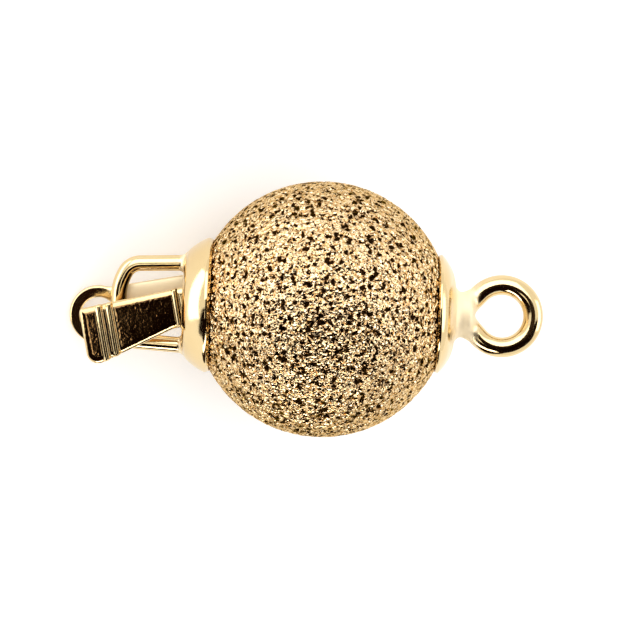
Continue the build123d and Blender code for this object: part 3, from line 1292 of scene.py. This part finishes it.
@dataclass(frozen=True)
class ThumbLeaf(Tongue):
    """The sprung upper leaf, from the fold through the slot to the ribbed thumb tab."""

    rise: float = radians(3.5)
    shoulder_in: float = 1.30
    shoulder_length: float = 0.20
    tab_root_out: float = 0.10
    tab_root_width: float = 1.15
    tab_tip_width: float = 1.91
    tab_length: float = 3.05
    tab_lean: float = radians(9.0)
    tab_extra_rise: float = radians(3.0)
    tab_bend_round: float = 1.5
    corner_round: float = 0.12
    low_corner_round: float = 0.50
    edge_round: float = 0.125
    edge_width: float = 0.22
    rib_radius: float = 0.10
    rib_height: float = 0.06
    tip_rib_in: float = 0.62
    tip_rib_pitch: float = 0.32
    tip_ribs: int = 2
    root_rib_in: float = 0.04
    rib_fillet: float = 0.05
    pitch: float = 0.027

    def leaf_plan(self) -> list[tuple[float, float]]:
        """The leaf's outline inside the ball and in the slot.

        Returns:
            The outline's corners, each as how far out of the face and how far to the side.
        """
        neck, wide = self.tab_root_width / 2, self.width / 2
        within_tab = self.tab_root_out * 2
        one_side = [
            (self.fold_out + self.leaf_gap, self.nose_width / 2),
            (self.fold_out + self.taper_length, wide), (-self.shoulder_in, wide),
            (-self.shoulder_in + self.shoulder_length, neck), (within_tab, neck),
        ]
        return one_side + [(out, -half) for out, half in reversed(one_side)]

    def tab_plan(self, along: np.ndarray, side: np.ndarray) -> np.ndarray:
        """Distances to the thumb tab's outline, from places along it and to one side.

        Args:
            along: Places along the tab, from its root.
            side: Places to its side.

        Returns:
            Distances, negative inside the outline.
        """
        lean = self.tab_length * tan(self.tab_lean)
        root, tip = self.tab_root_width / 2, self.tab_tip_width / 2
        high_slope = (tip - lean - root) / self.tab_length
        low_slope = (root - tip - lean) / self.tab_length
        high = (side - root - along * high_slope) / hypot(1, high_slope)
        low = (-side - root + along * low_slope) / hypot(1, low_slope)
        end = rounded_edge(along - self.tab_length, low, self.low_corner_round)
        return np.maximum(rounded_edge(end, high, self.corner_round), -along)

    def rib_places(self) -> list[float]:
        """How far along the tab each rib lies."""
        near_tip = [self.tab_length - self.tip_rib_in - self.tip_rib_pitch * n for n in range(self.tip_ribs)]
        return near_tip + [self.root_rib_in]

    def distance(self, points: np.ndarray) -> np.ndarray:
        """Distances from points to the leaf's skin.

        Args:
            points: The points, one to a row.

        Returns:
            Distances, negative inside the leaf.
        """
        out, side, height = self.face_x - points[:, 0], points[:, 1], points[:, 2]
        start = self.fold_out + self.leaf_gap
        root_height = self.middle + (self.tab_root_out - start) * tan(self.rise)
        tip_out = self.tab_root_out + self.tab_length + self.width
        tab_rise = self.rise + self.tab_extra_rise
        corners = [
            (start, self.middle), (self.tab_root_out, root_height),
            (tip_out, root_height + (tip_out - self.tab_root_out) * tan(tab_rise)),
        ]
        sheet = path_distance(rounded_path(corners, [self.tab_bend_round]), out, height) - self.thickness / 2
        along = out - self.tab_root_out
        tab = self.tab_plan(along, side)
        plan = np.minimum(outline_distance(self.leaf_plan(), out, side), tab)
        body = rounded_edge(sheet, plan * (self.edge_round / self.edge_width), self.edge_round)
        top = self.thickness / 2 - self.rib_radius + self.rib_height
        level = height - root_height - along * tan(tab_rise)
        ribs = np.min([np.hypot(along - place, level - top) for place in self.rib_places()], axis=0)
        ribs = rounded_edge(ribs - self.rib_radius, tab, self.rib_fillet)
        return soldered(body, ribs, self.rib_fillet)

    def build(self, clasp: ClaspFrame, material: bpy.types.Material) -> bpy.types.Object:
        """Makes the leaf and puts it in place.

        Args:
            clasp: The clasp's own frame.
            material: The polished gold.

        Returns:
            The piece.
        """
        half = self.tab_tip_width / 2 + self.tab_length * sin(self.tab_lean)
        tab_top = self.tab_length * tan(self.rise + self.tab_extra_rise)
        top = self.middle + self.reach * tan(self.rise) + tab_top
        low = Vector((self.face_x - self.tab_root_out - self.tab_length - self.thickness, -half, 0))
        high = Vector((self.face_x + self.reach, half, top + self.thickness))
        mesh = skin_mesh("thumb_leaf_body", self.distance, low, high, self.pitch)
        x, side, _ = corners_of(mesh).T
        along = self.face_x - x - self.tab_root_out
        inside = -self.tab_plan(along, side) / self.edge_width
        beside_ribs = np.min([np.abs(along - place) for place in self.rib_places()], axis=0)
        # The worn face gets the bump of wear and the painted brown reflection.
        bake(mesh, Mask.WORN, np.minimum(inside, beside_ribs / self.rib_radius - 1))
        return place_piece(
            "thumb_leaf_body", mesh, clasp.tongue(), Body.LEAF, "thumb_leaf", material,
        )


@dataclass(frozen=True)
class ViewAxes:
    """The photograph's own axes in the row frame: right, up and towards the viewer."""

    right: Vector
    up: Vector
    back: Vector

    @classmethod
    def of_photo(cls, clasp: ClaspFrame, lean: float, roll: float) -> "ViewAxes":
        """Works out the axes from how the photograph sees the clasp.

        Args:
            clasp: The clasp's own frame.
            lean: How far the viewer stands above the clasp's own +Z, towards its +Y.
            roll: How far the picture is turned.

        Returns:
            The axes.
        """
        turned = clasp.clasp().to_3x3()
        own = (
            Vector((cos(roll), sin(roll) * cos(lean), -sin(roll) * sin(lean))),
            Vector((-sin(roll), cos(roll) * cos(lean), -cos(roll) * sin(lean))),
            Vector((0, sin(lean), cos(lean))),
        )
        return cls(*((turned @ axis).normalized() for axis in own))

    def towards(self, polar: float, clock: float) -> Vector:
        """The direction at an angle from the viewer, at an hour of the clock in the picture.

        Args:
            polar: The angle from the viewer, in degrees.
            clock: The hour.

        Returns:
            The direction in the row frame.
        """
        turn = radians(clock * 30)
        beside = self.right * sin(turn) + self.up * cos(turn)
        return self.back * cos(radians(polar)) + beside * sin(radians(polar))


def square_mesh(name: str, side: float) -> bpy.types.Mesh:
    """A flat square mesh about its own middle.

    Args:
        name: The mesh's name.
        side: The square's side.

    Returns:
        The mesh.
    """
    half = side / 2
    mesh = bpy.data.meshes.new(name)
    corners = [(-half, -half, 0), (half, -half, 0), (half, half, 0), (-half, half, 0)]
    mesh.from_pydata(corners, [], [(0, 1, 2, 3)])
    return mesh


@dataclass(frozen=True)
class Card:
    """A card that only the metal's reflections see: where it stands as the picture sees it, and its tone."""

    name: str
    polar: float
    clock: float
    distance: float
    width: float
    height: float
    tone: tuple[float, float, float]
    clutter: tuple[float, float, float] | None = None
    clutter_scale: float = 9.0
    clutter_range: tuple[float, float] = (0.52, 0.68)

    def material(self) -> bpy.types.Material:
        """The card's own glow, with a second tone scattered over it if it has one.

        Returns:
            The material.
        """
        material = bpy.data.materials.new(self.name)
        material.use_nodes = True
        tree = material.node_tree
        tree.nodes.clear()
        glow = add(tree, "Emission", {"Color": (*self.tone, 1)})
        if self.clutter:
            place = add(tree, "TexCoord").outputs["Object"]
            noise = add(tree, "TexNoise", {"Vector": place, "Scale": self.clutter_scale, "Detail": 4.0})
            least, most = self.clutter_range
            spots = add(tree, "MapRange", {
                "Value": noise.outputs["Fac"], "From Min": least, "From Max": most,
            })
            both = mixed(tree, spots.outputs["Result"], (*self.tone, 1), (*self.clutter, 1))
            tree.links.new(both, glow.inputs["Color"])
        add(tree, "OutputMaterial", {"Surface": glow.outputs["Emission"]})
        return material

    def build(self, axes: ViewAxes, target: Vector) -> bpy.types.Object:
        """Puts the card up, turned to the clasp.

        Args:
            axes: The photograph's axes.
            target: What the card is turned to.

        Returns:
            The card.
        """
        mesh = square_mesh(self.name, 1.0)
        mesh.materials.append(self.material())
        card = bpy.data.objects.new(self.name, mesh)
        way = axes.towards(self.polar, self.clock)
        up = (axes.up - way * axes.up.dot(way)).normalized()
        turned = Matrix((up.cross(way), up, way)).transposed().to_4x4()
        size = Matrix.Diagonal((self.width, self.height, 1, 1))
        card.matrix_world = Matrix.Translation(target + way * self.distance) @ turned @ size
        card.visible_camera = card.visible_shadow = card.visible_diffuse = False
        bpy.context.scene.collection.objects.link(card)
        return card


@dataclass(frozen=True)
class Studio:
    """The floor, the lights and the camera."""

    lean: float = radians(8.0)
    roll: float = radians(2.2)
    lens: float = 200.0
    sensor: float = 36.0
    picture_width: float = 19.39
    picture_pixels: int = 620
    ball_pixel: tuple[float, float] = (322.0, 309.3)
    clip: tuple[float, float] = (0.001, 10.0)
    floor_size: float = 3.0
    floor_tone: tuple[float, float, float] = (0.95, 0.95, 0.95)
    glow_tone: tuple[float, float, float] = (1.0, 0.995, 0.985)
    floor_glow: float = 0.24
    dome: tuple[float, float, float] = (1.12, 1.12, 1.12)
    cards: tuple[Card, ...] = (
        Card("upper_softbox", 34.0, 12.0, 0.09, 0.095, 0.080, (3.0, 3.0, 3.0)),
        Card("left_softbox", 72.7, 9.47, 0.0151, 0.006, 0.015, (3.5, 3.5, 3.5)),
        Card("right_softbox", 80.0, 3.0, 0.030, 0.016, 0.020, (3.0, 3.0, 3.0)),
        Card("lower_softbox", 67.0, 6.3, 0.0115, 0.013, 0.0030, (5.5, 5.5, 5.4)),
        Card("lower_shade", 84.0, 6.3, 0.013, 0.017, 0.012, (0.012, 0.006, 0.002), (0.16, 0.075, 0.025)),
        Card("strip_light", 17.7, 6.91, 0.050, 0.006, 0.0105, (1.8, 1.75, 1.6)),
        Card("dark_room", 36.5, 6.0, 0.10, 0.30, 0.1226, (0.004, 0.0015, 0.0004), (0.028, 0.008, 0.0015)),
        Card("dark_lens", 14.6, 3.0, 0.0207, 0.0176, 0.007, (0.012, 0.006, 0.002), (0.10, 0.05, 0.02)),
    )

    def camera(self, axes: ViewAxes, ball_centre: Vector) -> None:
        """Sets the camera where the ball's centre falls on its place in the picture.

        Args:
            axes: The photograph's axes.
            ball_centre: The ball's centre in the row frame.
        """
        pixel = self.picture_width * MM / self.picture_pixels
        middle = self.picture_pixels / 2
        aim = ball_centre - axes.right * (self.ball_pixel[0] - middle) * pixel
        aim += axes.up * (self.ball_pixel[1] - middle) * pixel
        away = self.picture_width * MM * self.lens / self.sensor
        lens = bpy.data.cameras.new("camera")
        lens.lens, lens.sensor_width = self.lens, self.sensor
        lens.clip_start, lens.clip_end = self.clip
        camera = bpy.data.objects.new("camera", lens)
        turned = Matrix((axes.right, axes.up, axes.back)).transposed().to_4x4()
        camera.matrix_world = Matrix.Translation(aim + axes.back * away) @ turned
        bpy.context.scene.collection.objects.link(camera)
        bpy.context.scene.camera = camera

    def floor(self) -> None:
        """Lays the plain pale floor, lit a little from below as a light table is."""
        mesh = square_mesh("floor", self.floor_size)
        material = bpy.data.materials.new("pale_floor")
        material.use_nodes = True
        paper = next(n for n in material.node_tree.nodes if n.bl_idname == "ShaderNodeBsdfPrincipled")
        fill(paper, {
            "Base Color": (*self.floor_tone, 1), "Roughness": 0.9, "Specular IOR Level": 0.0,
            "Emission Color": (*self.glow_tone, 1), "Emission Strength": self.floor_glow,
        })
        mesh.materials.append(material)
        floor = bpy.data.objects.new("floor", mesh)
        bpy.context.scene.collection.objects.link(floor)

    def sky(self) -> None:
        """Lights the room evenly from all round."""
        world = bpy.data.worlds.new("studio")
        bpy.context.scene.world = world
        world.use_nodes = True
        back = next(n for n in world.node_tree.nodes if n.bl_idname == "ShaderNodeBackground")
        fill(back, {"Color": (*self.dome, 1)})

    def build(self, clasp: ClaspFrame) -> None:
        """Builds the whole studio round the clasp.

        Args:
            clasp: The clasp's own frame.
        """
        axes = ViewAxes.of_photo(clasp, self.lean, self.roll)
        self.camera(axes, clasp.ball_centre)
        self.floor()
        self.sky()
        for card in self.cards:
            card.build(axes, clasp.ball_centre)


def main() -> None:
    """Builds the clasp piece by piece, then the studio."""
    logging.basicConfig(level=logging.INFO, format="%(name)s: %(message)s")
    bpy.context.scene.view_settings.view_transform = "Standard"
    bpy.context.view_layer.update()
    ball, collar, loop, strip, leaf = BallSkin(), MouthCollar(), EndLoop(), TongueStrip(), ThumbLeaf()
    clasp = ClaspFrame.from_frame(collar.face_x, strip.side_shift, loop.loop_x)
    groups = {"tone": tone_group(), "marks": marks_group(), "pits": pits_group()}
    polished = GoldFinish("polished_gold").material(groups)
    textured = GoldFinish(
        "textured_gold", light=(1.0, 0.80, 0.50), deep=(0.56, 0.29, 0.07), drift_scale=13000.0, drift=0.9,
        least_roughness=0.07, most_roughness=0.16, glancing=(0.88, 0.70, 0.42), pits=Pits(ball.pit_field),
    ).material(groups)
    ball.build(clasp, textured)
    collar.build(clasp, polished)
    loop.build(clasp, polished)
    strip.build(clasp, polished)
    leaf.build(clasp, polished)
    Studio().build(clasp)


if __name__ == "__main__":
    main()
